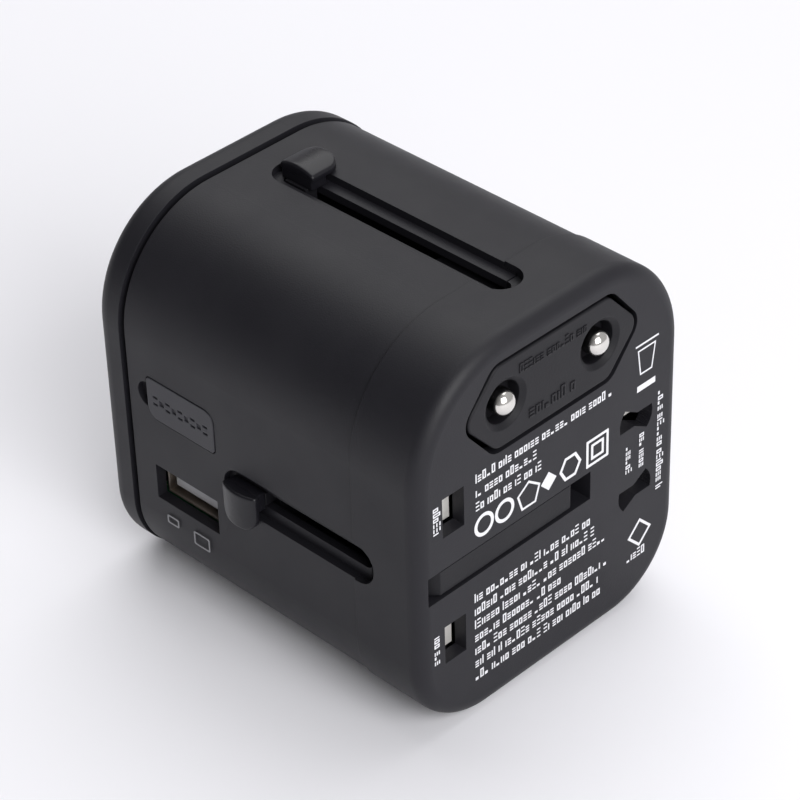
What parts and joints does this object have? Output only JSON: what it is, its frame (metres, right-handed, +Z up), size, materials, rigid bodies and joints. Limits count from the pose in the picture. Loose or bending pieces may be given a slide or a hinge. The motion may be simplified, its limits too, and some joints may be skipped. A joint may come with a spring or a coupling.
{
  "type": "travel adapter",
  "caption": "Rounded pocket travel adapter with sliding plug pins on three sides, a fold-out earth pin, a universal socket and charging ports.",
  "frame": {"origin": "middle of the underside, the long narrow side that it lies on", "axes": "+Z up, -Y out of the plug face, +Y out of the socket face, +X to the right when the plug face is looked at"},
  "size_m": [0.0576, 0.066, 0.0638],
  "materials": {
    "soft_touch_black": "fine grained matt, soft-touch",
    "hard_black": "moulded satin",
    "gloss_black": "smooth, slightly glossy",
    "grey_lid": "moulded satin, a little lighter than the case",
    "nickel_pin": "polished nickel plate",
    "satin_nickel": "satin nickel plate",
    "brass": "stamped and tumbled",
    "steel": "plated sheet",
    "port_tongue": "moulded satin",
    "gold_contact": "gold flash",
    "fuse_ceramic": "matt",
    "green_board": "solder resist",
    "ferrite": "matt",
    "coil_tape": "polyester tape",
    "component_black": "moulded"
  },
  "bodies": {
    "case": {"control_chips": "component_black", "earth_hinge_pin": "steel", "frame_screws": "steel", "front_shell": "soft_touch_black", "fuse_holder": "hard_black", "inductor": "ferrite", "inner_frame": "hard_black", "live_busbar": "brass", "live_contact": "brass", "mains_capacitor": "component_black", "mains_fuse_caps": "steel", "mains_fuse_tube": "fuse_ceramic", "middle_shell": "soft_touch_black", "neutral_busbar": "brass", "neutral_contact": "brass", "output_capacitors": "component_black", "power_board": "green_board", "rectifier": "component_black", "shutter_spring": "steel", "socket_body": "hard_black", "socket_cover": "soft_touch_black", "transformer_core": "ferrite", "transformer_winding": "coil_tape", "usb_a_contacts_left": "gold_contact", "usb_a_contacts_right": "gold_contact", "usb_a_shell_left": "steel", "usb_a_shell_right": "steel", "usb_a_tongue_left": "port_tongue", "usb_a_tongue_right": "port_tongue", "usb_boards": "green_board", "usb_c_shell": "steel", "usb_c_tongue": "port_tongue"},
    "eu_block": {"eu_block": "hard_black"},
    "eu_plug": {"eu_carrier": "hard_black", "eu_pins": "nickel_pin", "eu_pin_sleeves": "hard_black", "eu_knob": "gloss_black"},
    "uk_plug": {"uk_carrier": "hard_black", "uk_pins": "satin_nickel", "uk_pin_sleeves": "hard_black", "uk_knob": "gloss_black"},
    "earth_pin": {"uk_earth_pin": "hard_black"},
    "us_slider": {"us_carrier": "hard_black", "us_knob": "gloss_black"},
    "us_upper": {"us_blade_upper": "satin_nickel"},
    "us_lower": {"us_blade_lower": "satin_nickel"},
    "spare_fuse_lid": {"spare_fuse_cover": "grey_lid", "spare_fuse_tube": "fuse_ceramic", "spare_fuse_caps": "steel"},
    "fuse_cap": {"fuse_cap": "hard_black"},
    "shutter": {"socket_shutter": "hard_black"}
  },
  "joints": [
    {"name": "eu_block_slide", "type": "slide", "parent": "case", "child": "eu_block", "axis": [0, -1, 0], "range_m": [0, 0.017]},
    {"name": "eu_pin_slide", "type": "slide", "parent": "eu_block", "child": "eu_plug", "axis": [0, -1, 0], "range_m": [0, 0.02]},
    {"name": "uk_pin_slide", "type": "slide", "parent": "case", "child": "uk_plug", "axis": [0, -1, 0], "range_m": [0, 0.0202]},
    {"name": "earth_pin_fold", "type": "hinge", "parent": "case", "child": "earth_pin", "pos_m": [0.00223, -0.0277, 0.0275], "axis": [0, 0, 1], "range_deg": [0, 90]},
    {"name": "us_blade_slide", "type": "slide", "parent": "case", "child": "us_slider", "axis": [0, -1, 0], "range_m": [0, 0.0202]},
    {"name": "upper_blade_swing", "type": "hinge", "parent": "us_slider", "child": "us_upper", "pos_m": [0.0176, -0.022, 0.03385], "axis": [0, 1, 0], "range_deg": [0, 30]},
    {"name": "lower_blade_swing", "type": "hinge", "parent": "us_slider", "child": "us_lower", "pos_m": [0.0176, -0.022, 0.02115], "axis": [0, -1, 0], "range_deg": [0, 30]},
    {"name": "spare_lid_lift", "type": "slide", "parent": "case", "child": "spare_fuse_lid", "axis": [-1, 0, 0], "range_m": [0, 0.009]},
    {"name": "fuse_cap_turn", "type": "hinge", "parent": "case", "child": "fuse_cap", "pos_m": [0.018, 0.0315, 0.047], "axis": [0, 1, 0], "range_deg": [0, 90]},
    {"name": "shutter_slide", "type": "slide", "parent": "case", "child": "shutter", "axis": [-1, 0, 0], "range_m": [0, 0.0083], "stiffness_N_per_m": 40, "springref_m": -0.002, "deforming": ["shutter_spring"]}
  ]
}
